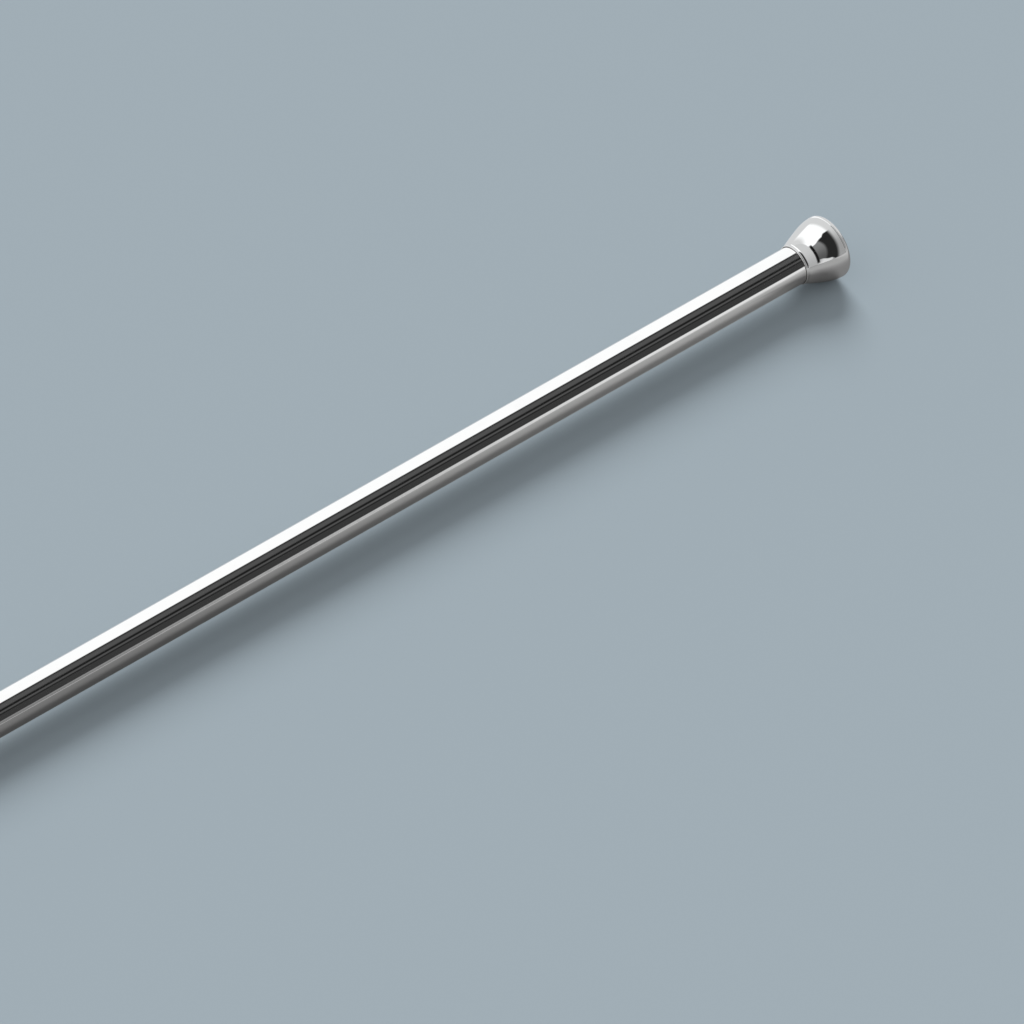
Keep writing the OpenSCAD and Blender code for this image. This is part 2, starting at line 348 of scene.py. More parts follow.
def nylon(n, place, polar):
    """Moulded dark nylon: a fine spark-eroded grain with faint flow marks."""
    black, charcoal = (0.028, 0.028, 0.031), (0.048, 0.048, 0.052)
    grain = n.noise(place, 3800.0, 3.0, 0.6)
    flow = n.noise(place, 120.0, 3.0)
    return {"Base Color": n.mix(n.ramp(flow, 0.35, 0.7), black, charcoal),
            "Roughness": n.ramp(grain, 0.3, 0.7, 0.42, 0.62),
            "Specular IOR Level": 0.45, "Normal": n.bump(grain, 0.00004, 0.5)}


def rubber(n, place, polar):
    """Black rubber with a dusty bloom."""
    black, dusty = (0.016, 0.016, 0.017), (0.060, 0.060, 0.062)
    grain = n.noise(place, 5200.0, 4.0, 0.7)
    bloom = n.ramp(n.noise(place, 170.0, 5.0, 0.6), 0.45, 0.75, 0.0, 0.6)
    return {"Base Color": n.mix(bloom, black, dusty),
            "Roughness": n.ramp(grain, 0.3, 0.7, 0.72, 0.92), "Specular IOR Level": 0.3,
            "Normal": n.bump(grain, 0.00005, 0.6)}


CHROME_TUBE = material("chrome_tube", chrome((0.98, 0.935, 0.895)))
CHROME_CAP = material("chrome_cap", chrome((0.97, 0.93, 0.895), (OUTER_R, INNER_R)))
ZINC = material("zinc_plate", zinc)
BLACKENED = material("black_oxide", blackened)
BRASS = material("machined_brass", brass)
NYLON = material("moulded_nylon", nylon)
RUBBER = material("black_rubber", rubber)


# ---------------------------------------------------------------- cover caps

CAP_X = span("cover_cap_outer")[0]
CAP_LENGTH = span("cover_cap_outer")[1] - CAP_X
RIM_ROUND = 3.1 * MM
COLLAR_WALL, COLLAR_FILLET, LIP_ROUND = 0.7 * MM, 4 * MM, 0.5 * MM
# How much steeper than its mean slope the bell is at the neck and where its two arcs meet, and its
# slope at the rim, in degrees
NECK_STEEPER, SHOULDER_STEEPER, RIM_SLOPE = 7.4, 2.0, 1.2
BORE_PLAY = 0.1 * MM
RING_R, RING_GAP, RING_PLAY = 0.75 * MM, 0.03 * MM, 0.02 * MM
GROOVE_START, GROOVE_END, NECK_START = 18.4 * MM, 20.2 * MM, 16.5 * MM
# How far apart the mesh's rings lie on the cap's polished outside and on its hollow's flank
OUTSIDE_STEP, FLANK_STEP = 0.16 * MM, 1.2 * MM


def cap_outline(tube_r):
    """Outline of a bell-shaped cap from its rim at the wall over the bell to the neck, and back
    through the bore. The bell is the CAD model's: a shoulder arc that runs into a flare arc."""
    rad = math.radians
    collar_r = tube_r + COLLAR_WALL
    rise, run = CAP_R - collar_r, CAP_LENGTH - LIP_ROUND - RIM_ROUND
    mean = math.degrees(math.atan(rise / run))
    neck, shoulder = mean + NECK_STEEPER, mean + SHOULDER_STEEPER
    flare_tan = math.tan(rad((neck + shoulder) / 2))
    shoulder_tan = math.tan(rad((shoulder + RIM_SLOPE) / 2))
    bell_run = run - COLLAR_FILLET * math.sin(rad(neck)) - RIM_ROUND * math.sin(rad(RIM_SLOPE))
    bell_rise = rise - COLLAR_FILLET * (1 - math.cos(rad(neck)))
    bell_rise -= RIM_ROUND * (1 - math.cos(rad(RIM_SLOPE)))
    shoulder_run = (bell_run * flare_tan - bell_rise) / (flare_tan - shoulder_tan)
    shoulder_r = shoulder_run / (math.sin(rad(shoulder)) - math.sin(rad(RIM_SLOPE)))
    flare_r = (bell_run - shoulder_run) / (math.sin(rad(neck)) - math.sin(rad(shoulder)))

    def beyond(centre, distance, slope):
        x, r = centre
        return (x + distance * math.sin(rad(slope)), r + distance * math.cos(rad(slope)))

    rim_centre = (RIM_ROUND, CAP_R - RIM_ROUND)
    shoulder_centre = beyond(rim_centre, RIM_ROUND - shoulder_r, RIM_SLOPE)
    flare_centre = beyond(shoulder_centre, shoulder_r - flare_r, shoulder)
    fillet_centre = beyond(flare_centre, flare_r + COLLAR_FILLET, neck)
    outside = arc(rim_centre, RIM_ROUND, 180, 90 - RIM_SLOPE, 24)
    outside += arc(shoulder_centre, shoulder_r, 90 - RIM_SLOPE, 90 - shoulder, 48)[1:]
    outside += arc(flare_centre, flare_r, 90 - shoulder, 90 - neck, 48)[1:]
    outside += arc(fillet_centre, COLLAR_FILLET, 270 - neck, 270, 24)[1:]
    outside += arc((CAP_LENGTH - LIP_ROUND, collar_r - LIP_ROUND), LIP_ROUND, 90, 0, 10)[1:]
    bore, chamfer = tube_r + BORE_PLAY, 0.1 * MM
    groove_r = tube_r + RING_GAP + 2 * RING_R + RING_PLAY
    through = [(CAP_LENGTH, bore + chamfer), (CAP_LENGTH - chamfer, bore), (GROOVE_END, bore),
               (GROOVE_END, groove_r), (GROOVE_START, groove_r), (GROOVE_START, bore),
               (NECK_START + chamfer, bore), (NECK_START, bore + chamfer)]
    # the hollow in the bell: a step behind the neck, a straight flank and a softened mouth
    mouth_r, mouth_edge = CAP_R - RIM_ROUND - 0.4 * MM, 0.3 * MM
    step = [(NECK_START, collar_r + 0.7 * MM), (15 * MM, collar_r + 1.7 * MM)]
    flank = [(14.7 * MM, collar_r + 1.75 * MM), (5 * MM, mouth_r - mouth_edge)]
    mouth = [(mouth_edge, mouth_r), (0, mouth_r + mouth_edge)]
    outline = resampled(outside, OUTSIDE_STEP) + through + step + resampled(flank, FLANK_STEP) + mouth
    return [(CAP_X + x, r) for x, r in outline]


def cap_ring_outline(tube_r):
    """Section of a rubber ring, with the faint moulding line that its two mould halves leave."""
    x, r = CAP_X + (GROOVE_START + GROOVE_END) / 2, tube_r + RING_GAP + RING_R
    steps, flash = 40, 0.03 * MM
    points = arc((x, r), RING_R, 0, 360, steps)[:-1]
    points[0] = (x + RING_R + flash, r)
    points[steps // 2] = (x - RING_R - flash, r)
    return points


# ---------------------------------------------------------------- tubes

TUBE_SCREW_R = 2.15 * MM
# Where the mesh's rings lie from a tube's walled end: either side of the screw holes, then evenly
RINGS_BY_HOLES = 0, 4 * MM, 14 * MM
EVEN_FROM, EVEN_STEP = 22 * MM, 8 * MM


def screw_holes(r, hole_r, depth, chamfer):
    """Cutting tools for the two holes across the bar where the socket's screws sit."""
    outline = [(r - depth, 0), (r - depth, hole_r), (r - chamfer, hole_r),
               (r + chamfer, hole_r + 2 * chamfer), (r + MM, hole_r + 2 * chamfer), (r + MM, 0)]
    return [radial(outline, SCREW_X, side) for side in (1, -1)]


def tube(x0, x1, r, bore, holes_far):
    """A chromed tube with softened ends and two screw holes next to its wall."""
    edge, hole_chamfer = 0.2 * MM, 0.12 * MM
    low, high = x0 + edge, x1 - edge
    along = [low + x for x in RINGS_BY_HOLES]
    along += [x for x, _ in resampled([(low + EVEN_FROM, 0), (high, 0)], EVEN_STEP)]
    outline = [(x, r) for x in along] + [(x1, r - edge), (x1, bore + edge)]
    outline += [(x, bore) for x in reversed(along)] + [(x0, bore + edge), (x0, r - edge)]
    bm = cut(turned(outline, segments=256), screw_holes(r, TUBE_SCREW_R, r / 2, hole_chamfer))
    return mirrored(bm) if holes_far else bm


# ---------------------------------------------------------------- wall sockets, pads and screws

WALL_HOLE_R = 3.25 * MM
COUNTERSINK_R = 5.7 * MM
SOCKET_FLOOR_X = 7 * MM
SPIGOT_PLAY = 0.05 * MM
TAPPED_R = 2.0 * MM
SCREW_SUNK = 0.1 * MM


def socket_outline(node, spigot_r, cup_r):
    """Turned steel socket: flange, spigot, and a countersunk floor at the bottom of a deep cup."""
    low, high = near_span(node)
    flange_r, edge, rounding = radius(node), 0.3 * MM, 0.7 * MM
    lead, lead_depth = 1.2 * MM, 0.7 * MM
    countersink_x = SOCKET_FLOOR_X - (COUNTERSINK_R - WALL_HOLE_R)
    points = [(low, WALL_HOLE_R + edge), (low, flange_r - edge), (low + edge, flange_r)]
    points += arc((SEAT_X - rounding, flange_r - rounding), rounding, 90, 0, 8)
    # the undercut in the flange, where the tube's end sits
    undercut_x = SEAT_X - 0.25 * MM
    points += [(SEAT_X, spigot_r + 0.9 * MM), (undercut_x, spigot_r + 0.7 * MM), (undercut_x, spigot_r),
               (SEAT_X + 0.6 * MM, spigot_r)]
    points += [(high - lead, spigot_r), (high, spigot_r - lead_depth), (high, cup_r + edge),
               (high - edge, cup_r), (SOCKET_FLOOR_X, cup_r)]
    if cup_r > COUNTERSINK_R + edge:
        points.append((SOCKET_FLOOR_X, COUNTERSINK_R))
    return points + [(countersink_x, WALL_HOLE_R), (low + edge, WALL_HOLE_R)]


def pad_outline(node):
    """Rubber pad with round ribs on the side that grips the wall."""
    low, high = near_span(node)
    hole_r, edge_r = 4.5 * MM, radius(node)
    rib, groove, groove_depth = 0.9 * MM, 0.6 * MM, 0.22 * MM
    rounding, soft, edge = 0.3 * MM, 0.15 * MM, 0.1 * MM
    points = [(low + soft, hole_r), (low, hole_r + soft)]
    r = hole_r + rib
    while r + groove + rib < edge_r:
        points += [(low, r), (low + groove_depth, r + soft), (low + groove_depth, r + groove - soft),
                   (low, r + groove)]
        r += rib + groove
    points += arc((low + rounding, edge_r - rounding), rounding, 180, 90, 6)
    points += arc((high - soft, edge_r - soft), soft, 90, 0, 3)
    return points + [(high, hole_r + edge), (high - edge, hole_r)]


def thread(x, turn, pitch):
    """How deep a right-hand thread is cut at x, from 0 on its crest to 1 at its root."""
    crest, flank = 0.16, 0.66
    phase = (x / pitch - turn / (2 * math.pi)) % 1.0
    return min(1.0, max(0.0, (abs(2 * phase - 1) - crest) / flank))


def set_screw(top, length):
    """A headless M4 screw with a hexagon socket and a helical thread, standing on its flat tip."""
    r, pitch, depth, tip, edge = 1.98 * MM, 0.7 * MM, 0.40 * MM, 0.5 * MM, 0.25 * MM
    hex_half, hex_depth, lead, cone = 1.0 * MM, 1.6 * MM, 0.1 * MM, 0.4 * MM
    thread_step, fade_in, fade_out = 0.06 * MM, 0.4 * MM, 0.25 * MM
    bottom = top - length
    side = [(bottom, 0), (bottom, r - tip), (bottom + tip, r)]
    side += resampled([(bottom + tip + 0.05 * MM, r), (top - edge, r)], thread_step)
    side += [(top, r - edge), (top, hex_half * 1.25), (top - lead, hex_half)]
    side += [(top - hex_depth, hex_half), (top - hex_depth - cone, 0)]

    def shape(x, own, a):
        if own <= hex_half:
            in_sector = (math.degrees(a) + 30) % 60 - 30
            return own / math.cos(math.radians(in_sector))
        if own < r - TINY:
            return own
        fade = min(1.0, (x - bottom - tip) / fade_in, (top - edge - x) / fade_out)
        return own - depth * thread(x, a, pitch) * max(0.0, fade)
    return side, shape


def set_screws(top, length):
    """Both screws of a socket in one mesh."""
    side, shape = set_screw(top, length)
    both = bmesh.new()
    for direction in (1, -1):
        one = radial(side, SCREW_X, direction, segments=72, shape=shape)
        mesh = bpy.data.meshes.new("screw")
        one.to_mesh(mesh)
        one.free()
        both.from_mesh(mesh)
        bpy.data.meshes.remove(mesh)
    return both


def wall_end(suffix, tube_body, cap_body, tube_r, bore, cup_wall, screw_length, far):
    """Everything at one wall: cap, its ring, socket, pad and screws."""
    def place(bm):
        return mirrored(bm) if far else bm

    finished("cap_bell_" + suffix, place(turned(cap_outline(tube_r), segments=256)), cap_body,
             CHROME_CAP, "cover_cap_" + suffix)
    finished("neck_ring_" + suffix, place(turned(cap_ring_outline(tube_r), segments=160)), cap_body,
             RUBBER, "cap_ring_" + suffix)
    socket_node, pad_node = "wall_socket_" + suffix, "wall_pad_" + suffix
    spigot_r, hole_chamfer = bore - SPIGOT_PLAY, 0.15 * MM
    socket = turned(socket_outline(socket_node, spigot_r, spigot_r - cup_wall))
    socket = cut(socket, screw_holes(spigot_r, TAPPED_R, spigot_r / 2, hole_chamfer))
    finished("socket_turned_" + suffix, place(socket), tube_body, ZINC, socket_node)
    finished("pad_ribbed_" + suffix, place(turned(pad_outline(pad_node))), tube_body,
             RUBBER, pad_node)
    screws = set_screws(tube_r - SCREW_SUNK, screw_length)
    finished("set_screws_" + suffix, place(screws), tube_body,
             BLACKENED, "socket_screws_" + suffix)


wall_end("outer", "outer_assembly", "outer_cap", OUTER_R, OUTER_BORE,
         cup_wall=2.8 * MM, screw_length=4 * MM, far=False)
wall_end("inner", "inner_assembly", "inner_cap", INNER_R, INNER_BORE,
         cup_wall=2.0 * MM, screw_length=3 * MM, far=True)

finished("outer_tube_chromed", tube(*span("outer_tube"), OUTER_R, OUTER_BORE, holes_far=False),
         "outer_assembly", CHROME_TUBE, "outer_tube")
finished("inner_tube_chromed", tube(*near_span("inner_tube"), INNER_R, INNER_BORE, holes_far=True),
         "inner_assembly", CHROME_TUBE, "inner_tube")


# ---------------------------------------------------------------- bushes

def bush_outline(x0, x1, r, bore, edge, grooves=(), groove_depth=0.0, groove_width=0.0):
    """A plain bush with softened edges, and grooves round its outside at the given places."""
    half, floor_r = groove_width / 2, r - groove_depth
    floor_half = half * 0.7
    points = [(x0, bore + edge), (x0, r - edge), (x0 + edge, r)]
    for x in grooves:
        points += [(x - half, r), (x - floor_half, floor_r), (x + floor_half, floor_r), (x + half, r)]
    points += [(x1 - edge, r), (x1, r - edge)]
    return points + [(x1, bore + edge), (x1 - edge, bore), (x0 + edge, bore)]


def mouth_bush():
    """The bush in the outer tube's mouth: its lip has a rounded front and a ring of grip ribs."""
    x0, x1 = span("mouth_bush")
    seat, lip_r, bore = span("outer_tube")[1], radius("mouth_bush"), INNER_R + 0.05 * MM
    front, lead, inner_edge, mouth, soft = 0.6 * MM, 0.4 * MM, 0.2 * MM, 0.35 * MM, 0.15 * MM
    points = [(x0, bore + inner_edge), (x0, OUTER_BORE - lead), (x0 + lead, OUTER_BORE),
              (seat, OUTER_BORE), (seat, OUTER_R + 0.1 * MM), (seat + soft, lip_r - soft)]
    points += resampled([(seat + 0.3 * MM, lip_r), (x1 - front, lip_r)], 0.2 * MM)
    points += arc((x1 - front, lip_r - front), front, 90, 0, 8)[1:]
    points += [(x1, bore + mouth), (x1 - mouth, bore), (x0 + inner_edge, bore)]
    ribs, depth, fade = 48, 0.16 * MM, 0.25 * MM
    from_seat, from_front = 0.35 * MM, 0.75 * MM

    def shape(x, r, a):
        if r <= lip_r - TINY:
            return r
        window = min(1.0, max(0.0, (x - seat - from_seat) / fade),
                     max(0.0, (x1 - from_front - x) / fade))
        return r - depth * max(0.0, math.cos(ribs * a)) ** 2 * window
    return turned(points, ribs * 12, shape)


finished("mouth_bush_ribbed", mouth_bush(), "outer_assembly", NYLON, "mouth_bush")

x0, x1 = span("stop_sleeve")
sleeve = bush_outline(x0, x1, OUTER_BORE, INNER_R + 0.15 * MM, edge=0.2 * MM,
                      grooves=[x0 + (x1 - x0) * (i + 0.5) / 10 for i in range(10)],
                      groove_depth=0.25 * MM, groove_width=2 * MM)
finished("stop_sleeve_ringed", turned(sleeve), "outer_assembly", NYLON, "stop_sleeve")

x0, x1 = span("tail_bush")
bush = bush_outline(x0, x1, radius("tail_bush"), INNER_R, edge=0.2 * MM,
                    grooves=[x0 + (x1 - x0) * i / 4 for i in (1, 2, 3)],
                    groove_depth=0.3 * MM, groove_width=1.6 * MM)
finished("tail_bush_grooved", turned(bush), "inner_assembly", NYLON, "tail_bush")


# ---------------------------------------------------------------- core and its bearings

JOURNAL_R = 3 * MM
JOURNAL_BORE = JOURNAL_R + 0.03 * MM
# The pocket in the tail plug that holds the rear bearing
POCKET_R = 5 * MM


def core():
    """Hardened bar with softened ends and a journal at each end, each with a centre-drilled face."""
    gap, edge, soft, dimple, ring_step = 0.3 * MM, 0.3 * MM, MM, 0.9 * MM, 12 * MM
    r = radius("core_rod")
    x0, x1 = span("core_rod")
    body0, body1 = span("core_bearing_tail")[1] + gap, span("core_bearing_front")[0] - gap
    tail = [(x0 + dimple, 0), (x0, dimple), (x0, JOURNAL_R - edge), (x0 + edge, JOURNAL_R),
            (body0, JOURNAL_R), (body0, r - soft), (body0 + soft, r)]
    middle = resampled([(body0 + 2 * soft, r), (body1 - 2 * soft, r)], ring_step)
    front = [(body1 - soft, r), (body1, r - soft), (body1, JOURNAL_R), (x1 - edge, JOURNAL_R),
             (x1, JOURNAL_R - edge), (x1, dimple), (x1 - dimple, 0)]
    return turned(tail + middle + front, segments=128)


def rear_bearing():
    """The bearing in the plug's pocket, with a flange that keeps the core off the plug."""
    x0, x1 = span("core_bearing_tail")
    r, shoulder, edge = radius("core_bearing_tail"), span("tail_plug")[1], 0.25 * MM
    outline = [(x0, JOURNAL_BORE + edge), (x0, POCKET_R - edge), (x0 + edge, POCKET_R),
               (shoulder, POCKET_R), (shoulder, r - edge), (shoulder + edge, r), (x1 - edge, r),
               (x1, r - edge), (x1, JOURNAL_BORE + edge), (x1 - edge, JOURNAL_BORE),
               (x0 + edge, JOURNAL_BORE)]
    return turned(outline, segments=128)


finished("core_bar", core(), "core", BLACKENED, "core_rod")
finished("rear_bearing_flanged", rear_bearing(), "inner_assembly", NYLON, "core_bearing_tail")
x0, x1 = span("core_bearing_front")
bearing = bush_outline(x0, x1, INNER_BORE, JOURNAL_BORE, edge=0.3 * MM,
                       grooves=[x0 + 3 * MM, x1 - 3 * MM], groove_depth=0.4 * MM, groove_width=1.2 * MM)
finished("front_bearing_grooved", turned(bearing, segments=128),
         "inner_assembly", NYLON, "core_bearing_front")


# ---------------------------------------------------------------- twist lock

STUD_R, STUD_PITCH, STUD_CUT = 4 * MM, 1.25 * MM, 0.4 * MM
CLIP_GROOVE_R = 3.4 * MM
THREAD_STEP = 0.1 * MM
SLEEVE_X, SLEEVE_END = span("expander_sleeve")
# The expander's conical seat: its half angle in degrees, and its radius at the mouth
TAPER, SEAT_WIDE_R = 9.4, 8.2 * MM


def seat_radius(x):
    """Radius of the expander sleeve's conical seat at x."""
    return SEAT_WIDE_R - (x - SLEEVE_X) * math.tan(math.radians(TAPER))


def lock_stud():
    """M8 stud with a rolled thread, a groove for the clip and a plain shank in the plug."""
    x0, x1 = span("lock_stud")
    clip0, clip1 = span("stud_clip")
    lead, fade_in, fade_out = 0.7 * MM, 0.6 * MM, MM
    thread_end = SLEEVE_X + 12 * MM
    points = [(x0, 0), (x0, STUD_R - lead), (x0 + lead, STUD_R), (clip0, STUD_R),
              (clip0, CLIP_GROOVE_R), (clip1, CLIP_GROOVE_R), (clip1, STUD_R)]
    points += resampled([(clip1 + THREAD_STEP, STUD_R), (thread_end + fade_out, STUD_R)], THREAD_STEP)
    points += [(x1 - lead, STUD_R), (x1, STUD_R - lead), (x1, 0)]

    def shape(x, r, a):
        if r < STUD_R - TINY or x < clip1:
            return r
        fade = min(1.0, (x - clip1) / fade_in, (thread_end - x) / fade_out)
        return r - STUD_CUT * thread(x, a, STUD_PITCH) * max(0.0, fade)
    return turned(points, segments=96, shape=shape)


def tail_plug():
    """Steel plug with a knurled band that grips the inner tube, bored for the stud and a bearing."""
    x0, x1 = span("tail_plug")
    seat, stud_end = span("inner_tube")[0], span("lock_stud")[1]
    pocket_x, edge = span("core_bearing_tail")[0], 0.3 * MM
    lead, lead_depth = MM, 0.5 * MM
    points = [(x0, STUD_R + edge), (x0, INNER_R - edge), (x0 + edge, INNER_R), (seat - edge, INNER_R),
              (seat, INNER_R - edge), (seat, INNER_BORE)]
    points += resampled([(seat + MM, INNER_BORE), (x1 - 3 * MM, INNER_BORE)], 0.5 * MM)
    points += [(x1 - lead, INNER_BORE), (x1, INNER_BORE - lead_depth), (x1, POCKET_R + edge),
               (x1 - edge, POCKET_R), (pocket_x, POCKET_R), (pocket_x, 0), (stud_end, 0),
               (stud_end, STUD_R), (x0 + edge, STUD_R)]
    knurls, knurl_depth = 60, 0.15 * MM
    band0, band1 = seat + 2 * MM, x1 - 4 * MM

    def shape(x, r, a):
        in_band = band0 < x < band1 and r > INNER_BORE - TINY
        return r - knurl_depth * (0.5 + 0.5 * math.cos(knurls * a)) if in_band else r
    return turned(points, knurls * 6, shape)


def clip():
    """Spring clip: a flat ring with a gap and two reliefs, pressed into the stud's groove."""
    x0, x1 = span("stud_clip")
    half_gap, relief_depth, edge, steps = 2 * MM, 0.9 * MM, 0.1 * MM, 120
    profile = [(x0, 0.0), (x0 + edge, edge), (x1 - edge, edge), (x1, 0.0)]
    bm = bmesh.new()
    loops = []
    for i in range(steps + 1):
        part = i / steps
        relief = 0.0
        if 0.1 < part < 0.9:
            relief = relief_depth * max(0.0, 1 - abs(math.sin(2 * math.pi * part * 1.5)) * 3)
        ring = []
        for r, side, section in ((CLIP_GROOVE_R + relief, 1, profile),
                                 (radius("stud_clip"), -1, profile[::-1])):
            start = math.asin(half_gap / r)
            a = math.pi / 2 + start + (2 * math.pi - 2 * start) * part
            for x, inset in section:
                own = r + side * (edge - inset)
                ring.append(bm.verts.new((x, own * math.cos(a), own * math.sin(a))))
        loops.append(ring)
    count = len(loops[0])
    for one, two in zip(loops, loops[1:]):
        for k in range(count):
            bm.faces.new((one[k], one[(k + 1) % count], two[(k + 1) % count], two[k]))
    bm.faces.new(loops[0])
    bm.faces.new(loops[-1][::-1])
    return bm


def expander():
    """Nylon sleeve in four fingers, with a saw-toothed outside and a conical seat inside."""
    r, bore, floor_thickness = radius("expander_sleeve"), STUD_R + 0.3 * MM, 4 * MM
    teeth, tooth, edge, bore_edge = 10, 1.4 * MM, 0.3 * MM, 0.2 * MM
    root_r, seat_end = r - edge, SLEEVE_END - floor_thickness
    collar0, collar1 = SLEEVE_X + 15.5 * MM, SLEEVE_X + 15.8 * MM
    points = [(SLEEVE_X, seat_radius(SLEEVE_X)), (SLEEVE_X, root_r)]
    for i in range(teeth):
        x = SLEEVE_X + edge + i * tooth
        points += [(x, r), (x + 0.3 * tooth, r), (x + 0.98 * tooth, root_r)]
    points += [(collar0, root_r), (collar1, r), (SLEEVE_END - edge, r), (SLEEVE_END, root_r),
               (SLEEVE_END, bore + bore_edge), (SLEEVE_END - bore_edge, bore),
               (seat_end, bore), (seat_end, seat_radius(seat_end))]
    slot_half, slot_start, slot_end, reach = 0.8 * MM, SLEEVE_X - MM, seat_end - 3 * MM, r + MM
    slots = [block((slot_start, -slot_half, -reach), (slot_end, slot_half, reach)),
             block((slot_start, -reach, -slot_half), (slot_end, reach, slot_half))]
    return cut(turned(points), slots)


def cone_nut():
    """Brass nut with a cone, four keys for the sleeve's slots and the stud's own thread inside."""
    x0, x1 = span("cone_nut")
    cone_x, gap = x0 + 3 * MM, 1.4 * MM
    wide_r, narrow_r = seat_radius(cone_x + gap), seat_radius(x1 + gap)
    bore, edge, lead = STUD_R + 0.06 * MM, 0.3 * MM, 0.4 * MM
    thread_depth, fade_length = 0.36 * MM, 0.6 * MM
    points = [(x0, bore + lead), (x0, wide_r - edge), (x0 + edge, wide_r), (cone_x, wide_r)]
    points += [(x1 - edge, narrow_r + 0.05 * MM), (x1, narrow_r - edge), (x1, bore + lead)]
    points += resampled([(x1 - lead, bore), (x0 + lead, bore)], THREAD_STEP)

    def shape(x, r, a):
        if r > bore + TINY:
            return r
        fade = min(1.0, (x - x0 - lead) / fade_length, (x1 - lead - x) / fade_length)
        return r - thread_depth * thread(x, a, STUD_PITCH) * max(0.0, fade)

    key_half, key_edge, key_r = 0.65 * MM, 0.15 * MM, radius("cone_nut")
    keys = []
    for quarter in range(4):
        bm = block((cone_x - 0.5 * MM, -key_half, narrow_r - MM), (x1 - lead, key_half, key_r))
        bmesh.ops.bevel(bm, geom=bm.edges[:], offset=key_edge, segments=2, affect="EDGES", profile=0.5)
        bm.transform(Matrix.Rotation(quarter * math.pi / 2, 4, "X"))
        keys.append(bm)
    return cut(turned(points, segments=96, shape=shape), keys, "UNION")


finished("lock_stud_threaded", lock_stud(), "inner_assembly", ZINC, "lock_stud")
finished("tail_plug_knurled", tail_plug(), "inner_assembly", ZINC, "tail_plug")
finished("stud_clip_sprung", clip(), "inner_assembly", BLACKENED, "stud_clip")
washer = bush_outline(*span("thrust_washer"), radius("thrust_washer"), STUD_R + 0.1 * MM,
                      edge=0.25 * MM)
finished("thrust_washer_bevelled", turned(washer),
         "inner_assembly", ZINC, "thrust_washer")
finished("expander_fingers", expander(), "expander", NYLON, "expander_sleeve")
finished("cone_nut_keyed", cone_nut(), "lock_nut", BRASS, "cone_nut")


# ---------------------------------------------------------------- camera and floor

CAMERA_AZIMUTH, CAMERA_ELEVATION = 140.0, 42.6
# What the frame spans at the bar: 1024 pixels of 0.542 mm
FRAME_WIDTH = 1024 * 0.542 * MM
# Focal length and sensor width, in mm
LENS, SENSOR = 1000.0, 36.0
# How far the frame's centre is from the near cap's neck, in frame widths
NECK_RIGHT, NECK_UP = 0.2750, 0.2408


def camera():
    """Looks at the near wall's cap at upper right, from so far that the bar's sides stay parallel.
    Returns the direction back from the bar to the camera."""
    a, e = math.radians(CAMERA_AZIMUTH), math.radians(CAMERA_ELEVATION)
    back = Vector((math.sin(a) * math.cos(e), -math.cos(a) * math.cos(e), math.sin(e)))
    right = Vector((math.cos(a), math.sin(a), 0))
    up = back.cross(right)
    neck = Vector((span("cover_cap_outer")[1], 0, 0))
    centre = neck - right * FRAME_WIDTH * NECK_RIGHT - up * FRAME_WIDTH * NECK_UP
    data = bpy.data.cameras.new("camera")
    data.lens, data.sensor_width = LENS, SENSOR
    distance = FRAME_WIDTH * LENS / SENSOR
    data.clip_start, data.clip_end = distance * 0.5, distance * 4
    obj = bpy.data.objects.new("camera", data)
    obj.location = centre + back * distance
    obj.rotation_mode = "QUATERNION"
    obj.rotation_quaternion = back.to_track_quat("Z", "Y")
    SCENE.collection.objects.link(obj)
    SCENE.camera = obj
    return back


TOWARD_CAMERA = camera()

# The two close tones of the floor's paper
PAPER = (0.404, 0.480, 0.532), (0.410, 0.487, 0.539)
# The greys that the metal shows of it, a painted reflection with painted shade: past the near wall, at
# it, at the far end, and beside the cap
PAST_WALL, AT_WALL, AT_FAR_END = (0.58, 0.605, 0.625), (0.42, 0.44, 0.455), (0.195, 0.205, 0.212)
SHADE_BESIDE_CAP = (0.24, 0.25, 0.26)
# How far the floor reaches, and where its two sheets meet
FLOOR_REACH, SEAM_Y = 20.0, -0.03


def floor():
    """A plain pale floor under the caps, in two sheets that meet behind the bar. The metal doesn't
    show the back one, so that the tube's upper edge stays bright, and it shows the front one in painted
    greys, a painted reflection whose painted shade falls off along the bar and darkens beside the cap."""
    def build(n, place, polar):
        fibre = n.noise(place, 900.0, 4.0, 0.6)
        plain = n.mix(n.ramp(fibre, 0.3, 0.7), *PAPER)
        parts = n.add("ShaderNodeSeparateXYZ", {0: place}).outputs
        x, y = parts["X"], parts["Y"]
        # painted shade in the metal's reflection of the floor: lighter past the near wall, darker
        # towards the far end and beside the cap
        along_bar = n.mix(n.ramp(x, 0, 0.52), AT_WALL, AT_FAR_END)
        along_bar = n.mix(n.ramp(x, -0.12, 0), PAST_WALL, along_bar)
        away_from_cap = n.math("MAXIMUM", n.ramp(x, 0.015, 0.04), n.ramp(y, 0.03, 0.09))
        painted_reflection = n.mix(away_from_cap, SHADE_BESIDE_CAP, along_bar)
        in_metal = n.add("ShaderNodeLightPath").outputs["Is Glossy Ray"]
        return {"Base Color": n.mix(in_metal, plain, painted_reflection), "Roughness": 0.9,
                "Specular IOR Level": 0.2}

    look = material("floor_paper", build)
    for name, y0, y1 in (("floor_front", SEAM_Y, FLOOR_REACH), ("floor_back", -FLOOR_REACH, SEAM_Y)):
        bm = bmesh.new()
        corners = [bm.verts.new((x, y, 0)) for x, y in
                   ((-FLOOR_REACH, y0), (FLOOR_REACH, y0), (FLOOR_REACH, y1), (-FLOOR_REACH, y1))]
        bm.faces.new(corners)
        mesh = bpy.data.meshes.new(name)
        bm.to_mesh(mesh)
        bm.free()
        sheet = bpy.data.objects.new(name, mesh)
        sheet.location.z = FLOOR_Z
        sheet.visible_glossy = name == "floor_front"
        SCENE.collection.objects.link(sheet)
        mesh.materials.append(look)


floor()


# ---------------------------------------------------------------- studio

